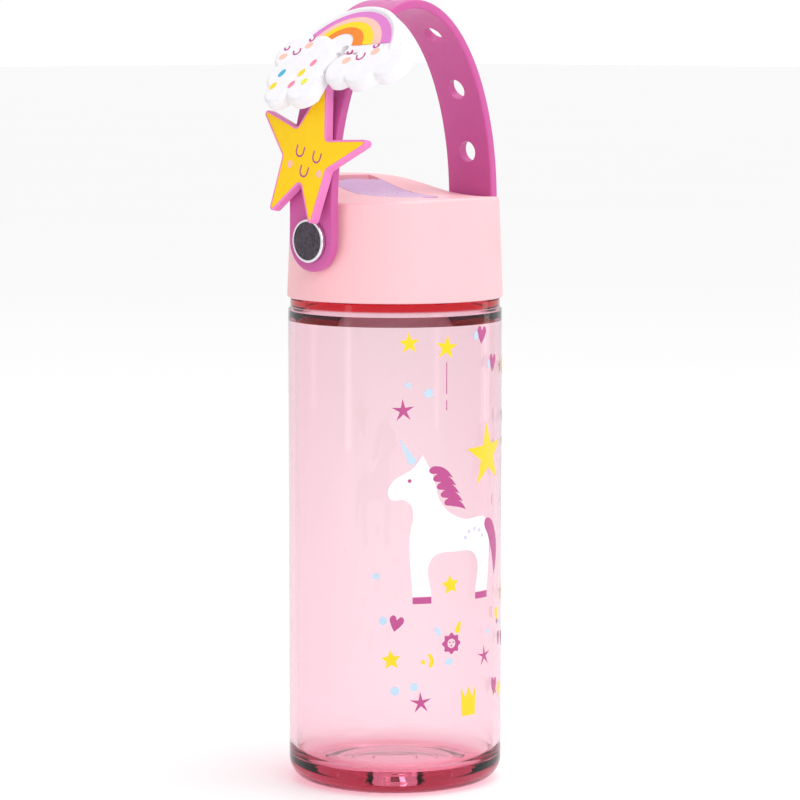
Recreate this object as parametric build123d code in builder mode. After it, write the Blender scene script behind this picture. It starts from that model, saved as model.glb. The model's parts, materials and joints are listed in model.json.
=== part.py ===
from build123d import *
import os
from math import asin, cos, degrees, sin, sqrt

# Kids' water bottle: a clear tinted bottle, a screw lid with a flip-up sip spout, a soft
# carry strap that swings on two rivets, and two soft charms plugged into the strap's holes.
# Millimetres.  +Z is up, the origin is the centre of the base, the strap's legs are on +X
# and -X, and the spout's tip points to -Y.

# ---------------------------------------------------------------- driving dimensions
# bottle
body_radius = 35.0
body_wall = 2.4
shoulder_height = 156.3
base_corner_radius = 7.5
floor_thickness = 3.0
shoulder_thickness = 4.5
push_up_height = 4.2
collar_radius = 34.3
collar_height = 2.9
neck_inner_radius = 29.6
neck_wall = 1.8
neck_length = 12.8

# screw thread, three starts
thread_lead = 12.0
thread_starts = 3
ridge_height = 0.85
ridge_root_width = 2.2
ridge_crest_width = 1.0
ridge_bite = 0.3
neck_ridge_arc = 150.0
lid_ridge_arc = 100.0
thread_first_z = 4.0
thread_clearance = 0.25

# lid
skirt_gap = 0.3
lid_bottom_radius = 35.3
lid_rim_radius = 34.0
lid_height = 33.0
lid_rim_fillet = 1.0
lid_wall = 2.0
hump_height = 6.4
crown_radius = 450.0
insert_wall = 0.8
insert_lift = 0.6
gasket_thickness = 1.6
gasket_gap = 0.15
gasket_lip = 0.4
insert_plate = 2.0

# flip spout
spout_pivot_y = 14.0
spout_pivot_drop = 3.5
spout_underside_drop = 7.1
barrel_radius = 9.3
spout_half_width = 12.0
spout_tip_radius = 7.5
spout_tip_y = -9.0
spout_neck_y = 8.0
spout_gap = 0.3
barrel_sweep_gap = 1.4
channel_radius = 2.2
nozzle_wall = 0.8
nozzle_length = 12.0
nozzle_recess = 0.7
spout_pin_radius = 1.6
spout_pin_length = 6.5
pin_boss = 4.5
pin_end_gap = 0.3
running_clearance = 0.05
tray_wall = 1.8
seat_wall = 1.9
seal_radius = 5.0
seal_height = 3.2
port_collar = 0.6
port_wall = 2.0
seal_step = 1.2
finger_dip_radius = 8.0
finger_dip_shift = 3.5
finger_dip_rise = 5.8
vent_radius = 1.5

# carry strap
strap_pivot_rise = 19.7
strap_leg = 10.8
strap_inner_half = 35.2
strap_inner_rise = 63.0
strap_thickness = 3.0
strap_width = 20.0
strap_edge_round = 0.7
hole_radius = 3.5
hole_pitch = 21.0
hole_overcut = 2.0
bush_radius = 4.4

# rivets
post_radius = 3.2
post_screw_radius = 2.0
post_screw_length = 6.2
rivet_head_gap = 0.35
post_pocket = 0.3
post_gap = 0.2
screw_boss_wall = 1.4
post_flange_radius = 5.6
post_flange = 0.6
bezel_radius = 7.0
bezel_depth = 1.15
bezel_lip = 0.8
disc_edge = 0.3
disc_rise = 0.15

# charms
charm_gap = 0.35
rainbow_gap = 1.3
stud_button_radius = 5.0
stud_button = 1.6
stud_button_gap = 0.8
star_thickness = 3.4
star_border = 0.7
star_edge_round = 0.45
inlay_depth = 0.9
inlay_sink = 0.12
stroke_width = 0.6
stroke_depth = 0.45
cloud_plate = 3.2
cloud_rise = 1.2
dot_depth = 0.35

# ---------------------------------------------------------------- values worked out
collar_top = shoulder_height + collar_height
neck_radius = neck_inner_radius + neck_wall
neck_top = collar_top + neck_length
ridge_crest_radius = neck_radius + ridge_height
insert_bore = ridge_crest_radius + thread_clearance
insert_radius = insert_bore + insert_wall
skirt_bottom = collar_top + skirt_gap
rim_z = skirt_bottom + lid_height
plate_bottom = neck_top + gasket_thickness
plate_top = plate_bottom + insert_plate
nozzle_radius = channel_radius + nozzle_wall
tray_floor_z = plate_top + port_collar
seal_floor_z = tray_floor_z + seal_step
spout_pivot_z = rim_z - spout_pivot_drop
spout_underside = rim_z - spout_underside_drop
strap_pivot_z = skirt_bottom + strap_pivot_rise
strap_arch_z = strap_pivot_z + strap_leg
pin_end = spout_half_width + pin_boss
seat_radius = barrel_radius + barrel_sweep_gap
spout_end_y = spout_tip_y - spout_tip_radius
lid_taper = (lid_bottom_radius - lid_rim_radius) / lid_height
crown_arc = asin(1.2 * lid_bottom_radius / crown_radius)
strap_outer_half = strap_inner_half + strap_thickness
strap_outer_rise = strap_inner_rise + strap_thickness
post_seat = lid_bottom_radius - lid_taper * strap_pivot_rise - post_pocket
flange_seat = strap_outer_half + rivet_head_gap

os.makedirs("parts", exist_ok=True)


def save(piece, name):
    piece.part.label = name
    export_step(piece.part, f"parts/{name}.step")


# ---------------------------------------------------------------- bottle
def ridges(root_radius, direction, first_z, arc):
    """Three helical ridges on a wall: direction +1 stands outwards, -1 inwards."""
    half_root = ridge_root_width / 2
    half_crest = ridge_crest_width / 2
    base = root_radius - direction * ridge_bite
    crest = root_radius + direction * ridge_height
    with BuildPart() as ridge:
        with BuildLine() as path:
            Helix(pitch=thread_lead, height=thread_lead * arc / 360, radius=root_radius,
                  center=(0, 0, first_z))
        with BuildSketch(Plane.XZ):
            with BuildLine():
                Polyline((base, first_z - half_root), (root_radius, first_z - half_root),
                         (crest, first_z - half_crest), (crest, first_z + half_crest),
                         (root_radius, first_z + half_root), (base, first_z + half_root),
                         close=True)
            make_face()
        sweep(path=path.line, is_frenet=True)
    return [Rot(0, 0, start * 360 / thread_starts) * ridge.part for start in range(thread_starts)]


with BuildPart() as bottle_body:
    with BuildSketch(Plane.XZ):
        with BuildLine():
            outer = body_radius
            inner = body_radius - body_wall
            floor = push_up_height + floor_thickness
            Polyline((0, push_up_height), (7, push_up_height), (7.6, push_up_height - 0.6),
                     (14, push_up_height - 0.6), (14.6, push_up_height - 1.2),
                     (19.5, push_up_height - 1.2), (23.5, 0), (outer - base_corner_radius, 0))
            JernArc(start=(outer - base_corner_radius, 0), tangent=(1, 0),
                    radius=base_corner_radius, arc_size=90)
            Polyline((outer, base_corner_radius), (outer, shoulder_height - 0.6),
                     (outer - 0.6, shoulder_height), (collar_radius, shoulder_height),
                     (collar_radius, collar_top - 0.3), (collar_radius - 0.3, collar_top),
                     (neck_radius, collar_top), (neck_radius, neck_top - 0.4),
                     (neck_radius - 0.4, neck_top), (neck_inner_radius + 0.4, neck_top),
                     (neck_inner_radius, neck_top - 0.4),
                     (neck_inner_radius, shoulder_height - 1.5), (inner, shoulder_height - shoulder_thickness),
                     (inner, floor + base_corner_radius - body_wall))
            JernArc(start=(inner, floor + base_corner_radius - body_wall), tangent=(0, -1),
                    radius=base_corner_radius - body_wall, arc_size=-90)
            Polyline((inner - base_corner_radius + body_wall, floor), (0, floor),
                     (0, push_up_height))
        make_face()
    revolve(axis=Axis.Z)
    add(ridges(neck_radius, 1, collar_top + thread_first_z, neck_ridge_arc))
save(bottle_body, "bottle_body")


# ---------------------------------------------------------------- lid
def top_profile(drop):
    """The lid's top seen from the side: level in front, then swept up to its high back."""
    return [(y, crown_radius + share * hump_height - drop)
            for y, share in ((-40, 0.0), (-15, 0.0), (0, 0.06), (8, 0.22), (17, 0.62), (24, 0.9),
                             (31, 1.0), (40, 1.0))]


def lid_form(shrink, drop):
    """The lid's closed outer form: a tapered drum under a swept, slightly crowned top."""
    lean = Vector(cos(crown_arc), 0, sin(crown_arc))
    crown_centre = (0, 0, rim_z - crown_radius)
    with BuildPart(mode=Mode.PRIVATE) as form:
        with BuildSketch(Plane(origin=crown_centre, x_dir=(0, 1, 0), z_dir=lean)):
            with BuildLine():
                top = top_profile(drop)
                Spline(*top)
                Polyline(top[-1], (top[-1][0], crown_radius - 2 * lid_height),
                         (top[0][0], crown_radius - 2 * lid_height), top[0])
            make_face()
        revolve(axis=Axis(crown_centre, (0, 1, 0)), revolution_arc=2 * degrees(crown_arc))
        with BuildSketch(Plane.XZ, mode=Mode.PRIVATE) as half:
            with BuildLine():
                tall = lid_height + 2 * hump_height
                Polyline((0, skirt_bottom), (lid_bottom_radius - shrink - 0.4, skirt_bottom),
                         (lid_bottom_radius - shrink, skirt_bottom + 0.4),
                         (lid_bottom_radius - shrink - lid_taper * tall, skirt_bottom + tall),
                         (0, skirt_bottom + tall), close=True)
            make_face()
        revolve(half.sketch, axis=Axis.Z, mode=Mode.INTERSECT)
    return form.part


def spout_plan(gap):
    """The spout seen from above, grown by gap: broad at its barrel, slim at its tip."""
    with BuildSketch(Plane.XY, mode=Mode.PRIVATE) as plan:
        with Locations((0, spout_neck_y)):
            Circle(spout_half_width + gap)
        with Locations((0, spout_tip_y)):
            Circle(spout_tip_radius + gap)
        make_hull()
    return plan.sketch


with BuildPart() as outer_lid:
    add(lid_form(0.0, 0.0))
    top_face = outer_lid.faces().sort_by(Axis.Z)[-1]
    fillet(top_face.edges(), lid_rim_fillet)

with BuildPart() as lid_hollow:
    add(lid_form(lid_wall, lid_wall))
    split(bisect_by=Plane.XY.offset(plate_top), keep=Keep.TOP)

with BuildPart() as tray:
    with BuildSketch(Plane.XY.offset(spout_underside - spout_gap - tray_wall)):
        add(spout_plan(spout_gap + tray_wall))
    extrude(amount=rim_z + hump_height - spout_underside)
    with Locations((0, spout_pivot_y, tray_floor_z)):
        Box(2 * pin_end, 2 * (seat_radius + seat_wall), rim_z + hump_height - tray_floor_z,
            align=(Align.CENTER, Align.CENTER, Align.MIN))
    add(outer_lid.part, mode=Mode.INTERSECT)

with BuildPart() as lid_shell:
    add(outer_lid.part)
    # space for the threaded insert, and the hollow above it
    with BuildSketch(Plane.XY.offset(skirt_bottom)):
        Circle(insert_radius)
    extrude(amount=plate_top - skirt_bottom, mode=Mode.SUBTRACT)
    add(lid_hollow.part, mode=Mode.SUBTRACT)
    # tray under the spout and bosses behind the rivets
    add(tray.part)
    for side in (-1, 1):
        with BuildSketch(Plane.YZ.offset(side * (post_seat - post_screw_length))):
            with Locations((0, strap_pivot_z)):
                Circle(post_screw_radius + screw_boss_wall)
        extrude(amount=side * (post_screw_length - 1.0))
        with BuildSketch(Plane.YZ.offset(side * post_seat)):
            with Locations((0, strap_pivot_z)):
                Circle(post_radius + post_gap)
        extrude(amount=side * strap_thickness, mode=Mode.SUBTRACT)
        with BuildSketch(Plane.YZ.offset(side * (post_seat - post_screw_length))):
            with Locations((0, strap_pivot_z)):
                Circle(post_screw_radius)
        extrude(amount=side * post_screw_length, mode=Mode.SUBTRACT)
    # groove for the spout's arm
    with BuildSketch(Plane.XY.offset(spout_underside - spout_gap)):
        add(spout_plan(spout_gap))
    extrude(amount=2 * hump_height + 10, mode=Mode.SUBTRACT)
    # round seat of the spout's barrel, open above and behind so that the arm can stand up
    with BuildSketch(Plane.YZ.offset(-spout_half_width - spout_gap)):
        with Locations((spout_pivot_y, spout_pivot_z)):
            Circle(seat_radius)
        with Locations((spout_neck_y, spout_pivot_z)):
            Rectangle(spout_pivot_y + seat_radius - spout_neck_y, 2 * barrel_radius,
                      align=(Align.MIN, Align.MIN))
        with Locations((spout_neck_y, spout_underside - spout_gap)):
            Rectangle(spout_pivot_y - spout_neck_y, barrel_radius,
                      align=(Align.MIN, Align.MIN))
    extrude(amount=2 * (spout_half_width + spout_gap), mode=Mode.SUBTRACT)
    # seat of the seal, port below it, holes for the spout's pins, finger dip at the tip
    with BuildSketch(Plane.XY.offset(seal_floor_z)):
        with Locations((0, spout_pivot_y)):
            Circle(seal_radius)
    extrude(amount=spout_pivot_z - seal_floor_z, mode=Mode.SUBTRACT)
    with BuildSketch(Plane.XY.offset(tray_floor_z)):
        with Locations((0, spout_pivot_y)):
            Circle(channel_radius)
    extrude(amount=seal_floor_z - tray_floor_z, mode=Mode.SUBTRACT)
    with BuildSketch(Plane.YZ.offset(-pin_end)):
        with Locations((spout_pivot_y, spout_pivot_z)):
            Circle(spout_pin_radius)
    extrude(amount=2 * pin_end, mode=Mode.SUBTRACT)
    with Locations((0, spout_end_y - finger_dip_shift, rim_z + finger_dip_rise)):
        Sphere(finger_dip_radius, mode=Mode.SUBTRACT)
save(lid_shell, "lid_shell")

with BuildPart() as thread_insert:
    with BuildSketch(Plane.XY.offset(skirt_bottom + insert_lift)):
        Circle(insert_radius)
    extrude(amount=plate_top - skirt_bottom - insert_lift)
    with BuildSketch(Plane.XY.offset(skirt_bottom + insert_lift)):
        Circle(insert_bore)
    extrude(amount=plate_bottom - skirt_bottom - insert_lift, mode=Mode.SUBTRACT)
    add(ridges(insert_bore, -1, collar_top + thread_first_z - thread_lead / thread_starts / 2,
               lid_ridge_arc))
    with BuildSketch(Plane.XY.offset(plate_top)):
        with Locations((0, spout_pivot_y)):
            Circle(channel_radius + port_wall)
    extrude(amount=tray_floor_z - plate_top)
    with BuildSketch(Plane.XY.offset(plate_bottom)):
        with Locations((0, spout_pivot_y)):
            Circle(channel_radius)
        with Locations((0, -spout_pivot_y)):
            Circle(vent_radius)
    extrude(amount=tray_floor_z - plate_bottom, mode=Mode.SUBTRACT)
save(thread_insert, "thread_insert")

with BuildPart() as lid_gasket:
    with BuildSketch(Plane.XY.offset(neck_top)):
        Circle(insert_bore - gasket_gap)
        Circle(neck_inner_radius - gasket_lip, mode=Mode.SUBTRACT)
    extrude(amount=gasket_thickness)
save(lid_gasket, "lid_gasket")

vent_axis = Axis((0, -spout_pivot_y, 0), (0, 0, 1))
with BuildPart() as vent_valve:
    with BuildSketch(Plane.XZ.offset(spout_pivot_y)):
        with BuildLine():
            Polyline((0, plate_bottom - 0.9), (3.6, plate_bottom - 0.35), (4.0, plate_bottom),
                     (1.45, plate_bottom), (1.45, plate_top), (2.1, plate_top),
                     (1.2, plate_top + 1.4), (0, plate_top + 1.4), close=True)
        make_face()
    revolve(axis=vent_axis)
save(vent_valve, "vent_valve")

# ---------------------------------------------------------------- flip spout
with BuildPart() as flip_spout:
    with BuildSketch(Plane.XY.offset(spout_underside)):
        add(spout_plan(0.0))
    extrude(amount=30)
    with BuildSketch(Plane.YZ.offset(-spout_half_width)):
        with Locations((spout_pivot_y, spout_pivot_z)):
            Circle(barrel_radius)
        with Locations((spout_neck_y, spout_underside)):
            Rectangle(spout_pivot_y - spout_neck_y, 30, align=(Align.MIN, Align.MIN))
    extrude(amount=2 * spout_half_width)
    add(outer_lid.part, mode=Mode.INTERSECT)
    # sip channel along the arm, wider at the tip for the nozzle
    with BuildSketch(Plane.XZ.offset(-spout_pivot_y - barrel_radius)):
        with Locations((0, spout_pivot_z)):
            Circle(channel_radius)
    extrude(amount=spout_pivot_y + barrel_radius - spout_end_y + 1, mode=Mode.SUBTRACT)
    with BuildSketch(Plane.XZ.offset(-spout_end_y - nozzle_length)):
        with Locations((0, spout_pivot_z)):
            Circle(nozzle_radius)
    extrude(amount=nozzle_length + 1, mode=Mode.SUBTRACT)
    for side in (-1, 1):
        with BuildSketch(Plane.YZ.offset(side * (pin_end - spout_pin_length))):
            with Locations((spout_pivot_y, spout_pivot_z)):
                Circle(spout_pin_radius + running_clearance)
        extrude(amount=side * spout_pin_length, mode=Mode.SUBTRACT)
save(flip_spout, "flip_spout")

with BuildPart() as spout_nozzle:
    with BuildSketch(Plane.XZ.offset(-spout_end_y - nozzle_length)):
        with Locations((0, spout_pivot_z)):
            Circle(nozzle_radius)
            Circle(channel_radius, mode=Mode.SUBTRACT)
    extrude(amount=nozzle_length - nozzle_recess)
save(spout_nozzle, "spout_nozzle")

with BuildPart() as spout_pins:
    for side in (-1, 1):
        with BuildSketch(Plane.YZ.offset(side * pin_end)):
            with Locations((spout_pivot_y, spout_pivot_z)):
                Circle(spout_pin_radius)
        extrude(amount=-side * (spout_pin_length - pin_end_gap))
save(spout_pins, "spout_pins")

with BuildPart() as spout_seal:
    with BuildSketch(Plane.XY.offset(seal_floor_z)):
        with Locations((0, spout_pivot_y)):
            Circle(seal_radius)
            Circle(channel_radius, mode=Mode.SUBTRACT)
    extrude(amount=seal_height)
    with BuildSketch(Plane.YZ.offset(-seal_radius - 1)):
        with Locations((spout_pivot_y, spout_pivot_z)):
            Circle(barrel_radius + running_clearance)
    extrude(amount=2 * seal_radius + 2, mode=Mode.SUBTRACT)
save(spout_seal, "spout_seal")


# ---------------------------------------------------------------- carry strap
def arch(half, rise):
    """Half of the strap's outline: straight leg ends joined by half an ellipse."""
    with BuildSketch(Plane.XZ, mode=Mode.PRIVATE) as outline:
        with Locations((0, strap_arch_z)):
            Ellipse(half, rise)
        with Locations((0, strap_arch_z)):
            Rectangle(4 * half, 2 * rise, align=(Align.CENTER, Align.MAX), mode=Mode.SUBTRACT)
        with Locations((0, strap_arch_z)):
            Rectangle(2 * half, strap_arch_z - strap_pivot_z + strap_width / 2,
                      align=(Align.CENTER, Align.MAX))
    return outline.sketch


def arch_angle(length):
    """Angle from the top of the inner arch, found by stepping along its length."""
    travelled = 0.0
    angle = 0.0
    step = 0.0005
    while travelled < abs(length):
        travelled += step * sqrt((strap_inner_half * cos(angle)) ** 2
                                 + (strap_inner_rise * sin(angle)) ** 2)
        angle += step
    return angle if length > 0 else -angle


def strap_plane(place, depth):
    """Plane square to the strap at a hole, depth outwards from its outer face."""
    angle = arch_angle(place * hole_pitch)
    normal = Vector(sin(angle) / strap_outer_half, 0, cos(angle) / strap_outer_rise).normalized()
    face = Vector(strap_outer_half * sin(angle), 0,
                  strap_arch_z + strap_outer_rise * cos(angle))
    return Plane(origin=face + normal * depth, x_dir=(0, -1, 0), z_dir=normal)


hole_places = range(-3, 4)

with BuildPart() as carry_strap:
    with BuildSketch(Plane.XZ.offset(-strap_width / 2)):
        add(arch(strap_outer_half, strap_outer_rise))
        add(arch(strap_inner_half, strap_inner_rise), mode=Mode.SUBTRACT)
    extrude(amount=strap_width)
    foot_edges = carry_strap.edges().filter_by(Axis.X).group_by(Axis.Z)[0]
    fillet(foot_edges, strap_width / 2 - 0.05)
    sides = carry_strap.faces().filter_by(Plane.XZ)
    fillet(sides.edges(), strap_edge_round)
    for place in hole_places:
        with BuildSketch(strap_plane(place, hole_overcut)):
            Circle(hole_radius)
        extrude(amount=-strap_thickness - 2 * hole_overcut, mode=Mode.SUBTRACT)
    with BuildSketch(Plane.YZ.offset(-strap_outer_half - 1)):
        with Locations((0, strap_pivot_z)):
            Circle(bush_radius)
    extrude(amount=2 * strap_outer_half + 2, mode=Mode.SUBTRACT)
save(carry_strap, "carry_strap")


# ---------------------------------------------------------------- rivets
def rivet_pieces(side, word):
    """The bush, post, black disc and chrome bezel on one side of the lid."""
    centre = (0, strap_pivot_z)
    with BuildPart() as bush:
        with BuildSketch(Plane.YZ.offset(side * strap_inner_half)):
            with Locations(centre):
                Circle(bush_radius)
                Circle(post_radius + running_clearance, mode=Mode.SUBTRACT)
        extrude(amount=side * strap_thickness)
    save(bush, f"strap_bush_{word}")
    with BuildPart() as post:
        with BuildSketch(Plane.YZ.offset(side * (post_seat - post_screw_length))):
            with Locations(centre):
                Circle(post_screw_radius)
        extrude(amount=side * post_screw_length)
        with BuildSketch(Plane.YZ.offset(side * post_seat)):
            with Locations(centre):
                Circle(post_radius)
        extrude(amount=side * (flange_seat - post_seat))
        with BuildSketch(Plane.YZ.offset(side * flange_seat)):
            with Locations(centre):
                Circle(post_flange_radius)
        extrude(amount=side * post_flange)
    save(post, f"rivet_post_{word}")
    turn = Plane(origin=(side * flange_seat, 0, strap_pivot_z), x_dir=(0, 1, 0),
                 z_dir=(side, 0, 0))
    with BuildPart() as bezel:
        with BuildSketch(turn):
            Circle(bezel_radius)
        extrude(amount=bezel_depth)
        fillet(bezel.faces().sort_by(Axis.X)[-1 if side > 0 else 0].edges(), 0.35)
        with BuildSketch(turn):
            Circle(post_flange_radius)
        extrude(amount=post_flange, mode=Mode.SUBTRACT)
        with BuildSketch(turn.offset(post_flange)):
            Circle(bezel_radius - bezel_lip)
        extrude(amount=bezel_depth, mode=Mode.SUBTRACT)
    save(bezel, f"rivet_bezel_{word}")
    with BuildPart() as disc:
        with BuildSketch(turn.offset(post_flange)):
            Circle(bezel_radius - bezel_lip)
        extrude(amount=disc_edge)
        with BuildSketch(turn.offset(post_flange + disc_edge)):
            Circle(bezel_radius - bezel_lip - 0.1)
        with BuildSketch(turn.offset(post_flange + disc_edge + disc_rise)):
            Circle(0.8)
        loft()
    save(disc, f"rivet_disc_{word}")


for rivet_side, side_word in ((-1, "left"), (1, "right")):
    rivet_pieces(rivet_side, side_word)


# ---------------------------------------------------------------- charms
def stud(place, gap):
    """Neck through the strap's hole and a button inside the strap."""
    reach = gap + strap_thickness + stud_button_gap
    with BuildPart(mode=Mode.PRIVATE) as plug:
        with BuildSketch(strap_plane(place, gap)):
            Circle(hole_radius - running_clearance)
        extrude(amount=-reach)
        with BuildSketch(strap_plane(place, gap - reach)):
            Circle(stud_button_radius)
        extrude(amount=-stud_button)
    return plug.part


def cup_stroke(width, height, thickness):
    """A u-shaped stroke with round ends, centred on its middle."""
    arm = width / 2
    with BuildSketch(mode=Mode.PRIVATE) as stroke:
        with BuildLine():
            Polyline((-arm, height / 2), (-arm, arm - height / 2))
            CenterArc((0, arm - height / 2), arm, 180, 180)
            Line((arm, arm - height / 2), (arm, height / 2))
            offset(amount=thickness / 2, side=Side.BOTH)
        make_face()
    return stroke.sketch


def strokes(plane, places, depth):
    """Cup strokes laid into a face: places are (u, v, width, height, turn)."""
    with BuildPart(mode=Mode.PRIVATE) as group:
        for u, v, width, height, turn in places:
            with BuildSketch(plane):
                with Locations(Location((u, v, 0), (0, 0, turn))):
                    add(cup_stroke(width, height, stroke_width))
            extrude(amount=-depth)
    return group.part


def dots(plane, places, depth):
    """Oval dots laid into a face: places are (u, v, half width, half height, turn)."""
    with BuildPart(mode=Mode.PRIVATE) as group:
        for u, v, half_width, half_height, turn in places:
            with BuildSketch(plane):
                with Locations(Location((u, v, 0), (0, 0, turn))):
                    Ellipse(half_width, half_height)
            extrude(amount=-depth)
    return group.part


star_place = -3
star_points = [(6.5, 24.7), (9.0, 4.8), (30.7, 5.5), (10.7, -4.9), (5.6, -24.3), (-0.9, -8.9),
               (-14.4, -20.3), (-10.4, -0.7), (-22.8, 15.2), (-4.8, 8.5)]
star_tip_round = 1.2
star_face_turn = -12.8
star_strokes = [(-2.4, 0.9, 3.4, 3.2, star_face_turn), (5.5, -0.9, 3.4, 3.2, star_face_turn),
                (0.3, -5.5, 3.4, 3.2, star_face_turn)]
star_cheek_dots = [(-6.4, -3.3, 1.25, 1.25, 0), (7.3, -6.1, 1.25, 1.25, 0)]


def star_sketch(inset):
    with BuildSketch(mode=Mode.PRIVATE) as star:
        with BuildLine():
            Polyline(*star_points, close=True)
        make_face()
        fillet(star.vertices(), star_tip_round)
        if inset > 0:
            offset(amount=-inset)
    return star.sketch


star_back = strap_plane(star_place, charm_gap)
star_front = strap_plane(star_place, charm_gap + star_thickness)
inlay_front = strap_plane(star_place, charm_gap + star_thickness - inlay_sink)
face_strokes = strokes(inlay_front, star_strokes, stroke_depth)
cheeks = dots(inlay_front, star_cheek_dots, stroke_depth)

with BuildPart() as star_base:
    with BuildSketch(star_back):
        add(star_sketch(0.0))
    extrude(amount=star_thickness)
    flats = star_base.faces().filter_by(GeomType.PLANE)
    flats = flats.filter_by(lambda face: abs(face.normal_at().dot(star_back.z_dir)) > 0.99)
    fillet(flats.edges(), star_edge_round)
    with BuildSketch(star_front):
        add(star_sketch(star_border))
    extrude(amount=-inlay_depth, mode=Mode.SUBTRACT)
    add(stud(star_place, charm_gap))
save(star_base, "star_base")

with BuildPart() as star_inlay:
    with BuildSketch(inlay_front):
        add(star_sketch(star_border))
    extrude(amount=inlay_sink - inlay_depth)
    add([face_strokes, cheeks], mode=Mode.SUBTRACT)
save(star_inlay, "star_inlay")

with BuildPart() as star_face:
    add(face_strokes)
save(star_face, "star_face")

with BuildPart() as star_cheeks:
    add(cheeks)
save(star_cheeks, "star_cheeks")

rainbow_place = -1
# the rainbow's edges are circles that close up towards its inside: share of the way in
arc_outer = (8.1, -16.9, 20.5)
arc_inner = (5.9, -13.1, 9.9)
band_edges = [0.0, 0.35, 0.65, 1.0, 1.38]
band_names = ["band_orchid", "band_peach", "band_yellow", "band_orange"]
rainbow_border = 2.8
cloud_lobes = [(-12.3, -15.2, 7.2), (-9.5, -24.5, 7.0), (-7.2, -31.5, 5.6), (3.0, -29.0, 7.0),
               (0.0, -19.0, 7.6), (-3.5, -13.5, 6.0)]
cloud_lobes_right = [(14.3, -21.5, 6.3), (24.0, -20.0, 8.3), (33.6, -18.5, 6.6)]
slit = [(8.3, -12.2), (9.7, -12.2), (8.1, -20.8), (9.9, -25.2), (12.4, -31.0), (9.6, -33.0),
        (8.1, -25.2), (7.3, -20.8)]
cloud_tops = [(-14.0, -5.6), (0.0, -9.6), (6.0, -11.0), (13.0, -10.9), (31.0, -9.3), (31.0, 12.0),
              (-14.0, 12.0)]


def arc_circle(share):
    u, v, radius = [a + share * (b - a) for a, b in zip(arc_outer, arc_inner)]
    return u, v, radius


def lobes_sketch(lobes):
    with BuildSketch(mode=Mode.PRIVATE) as cloud:
        for u, v, radius in lobes:
            with Locations((u, v)):
                Circle(radius)
        with BuildLine():
            Polyline(*slit, close=True)
        make_face(mode=Mode.SUBTRACT)
        offset(amount=-0.6, kind=Kind.ARC)
        offset(amount=0.6, kind=Kind.ARC)
    return cloud.sketch


def band_sketch(first, last):
    with BuildSketch(mode=Mode.PRIVATE) as band:
        u, v, radius = arc_circle(first)
        with Locations((u, v)):
            Circle(radius)
        u, v, radius = arc_circle(last)
        with Locations((u, v)):
            Circle(radius, mode=Mode.SUBTRACT)
        with BuildLine():
            Polyline(*cloud_tops, close=True)
        make_face(mode=Mode.INTERSECT)
    return band.sketch


rainbow_back = strap_plane(rainbow_place, rainbow_gap)
band_front = strap_plane(rainbow_place, rainbow_gap + cloud_plate)
cloud_front = strap_plane(rainbow_place, rainbow_gap + cloud_plate + cloud_rise)

cloud_mark_places = [(-10.0, -15.4, 2.6, 2.0, 26), (-6.9, -9.9, 1.8, 1.2, 26),
                     (-15.6, -13.9, 1.8, 1.2, 26), (20.3, -17.2, 3.0, 2.2, 20),
                     (14.2, -15.4, 1.8, 1.2, 20), (24.1, -12.6, 1.8, 1.2, 20)]
cloud_cheek_places = [(-14.9, -17.4, 1.6, 1.2, 26), (-6.4, -12.4, 1.6, 1.2, 26),
                      (15.2, -18.8, 1.7, 1.3, 20), (25.4, -14.8, 1.7, 1.3, 20)]
cloud_dot_places = {
    "blue": [(-10.2, -24.6, 1.1, 1.7, -15)],
    "yellow": [(-1.3, -24.3, 1.1, 1.6, -15), (-10.2, -30.2, 1.1, 1.5, -15)],
    "pink": [(1.0, -20.0, 1.0, 1.5, -15), (-2.4, -29.4, 1.0, 1.6, -15)],
    "lime": [(2.6, -28.0, 1.1, 1.3, -15)],
}
cloud_strokes = strokes(cloud_front, cloud_mark_places, dot_depth)
cloud_cheek_dots = dots(cloud_front, cloud_cheek_places, dot_depth)
cloud_dots = {colour: dots(cloud_front, places, dot_depth)
              for colour, places in cloud_dot_places.items()}

with BuildPart(mode=Mode.PRIVATE) as cloud_solid:
    for lobes in (cloud_lobes, cloud_lobes_right):
        with BuildSketch(band_front.offset(-inlay_depth)):
            add(lobes_sketch(lobes))
        extrude(amount=inlay_depth)
cloud_bodies = cloud_solid.part

with BuildPart() as rainbow_base:
    with BuildSketch(rainbow_back):
        u, v, radius = arc_circle(0.0)
        with Locations((u, v)):
            Circle(radius + rainbow_border)
        with BuildLine():
            Polyline((-40, -14), (-40, 20), (60, 20), (60, -14), close=True)
        make_face(mode=Mode.INTERSECT)
        add(lobes_sketch(cloud_lobes))
        add(lobes_sketch(cloud_lobes_right))
        with BuildLine():
            Polyline(*slit, close=True)
        make_face(mode=Mode.SUBTRACT)
        with Locations((8.8, -12.4)):
            Circle(1.5, mode=Mode.SUBTRACT)
    extrude(amount=cloud_plate)
    for lobes in (cloud_lobes, cloud_lobes_right):
        with BuildSketch(band_front):
            add(lobes_sketch(lobes))
            with BuildLine():
                Polyline(*slit, close=True)
            make_face(mode=Mode.SUBTRACT)
            with Locations((8.8, -12.4)):
                Circle(1.5, mode=Mode.SUBTRACT)
        extrude(amount=cloud_rise)
    for first, last in zip(band_edges, band_edges[1:]):
        with BuildSketch(band_front):
            add(band_sketch(first, last))
        extrude(amount=-inlay_depth, mode=Mode.SUBTRACT)
    add([cloud_strokes, cloud_cheek_dots] + list(cloud_dots.values()), mode=Mode.SUBTRACT)
    add(stud(rainbow_place, rainbow_gap))
save(rainbow_base, "rainbow_base")

band_top = strap_plane(rainbow_place, rainbow_gap + cloud_plate - inlay_sink)
for name, first, last in zip(band_names, band_edges, band_edges[1:]):
    with BuildPart() as band_piece:
        with BuildSketch(band_top):
            add(band_sketch(first, last))
        extrude(amount=inlay_sink - inlay_depth)
        add(cloud_bodies, mode=Mode.SUBTRACT)
    save(band_piece, name)

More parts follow.
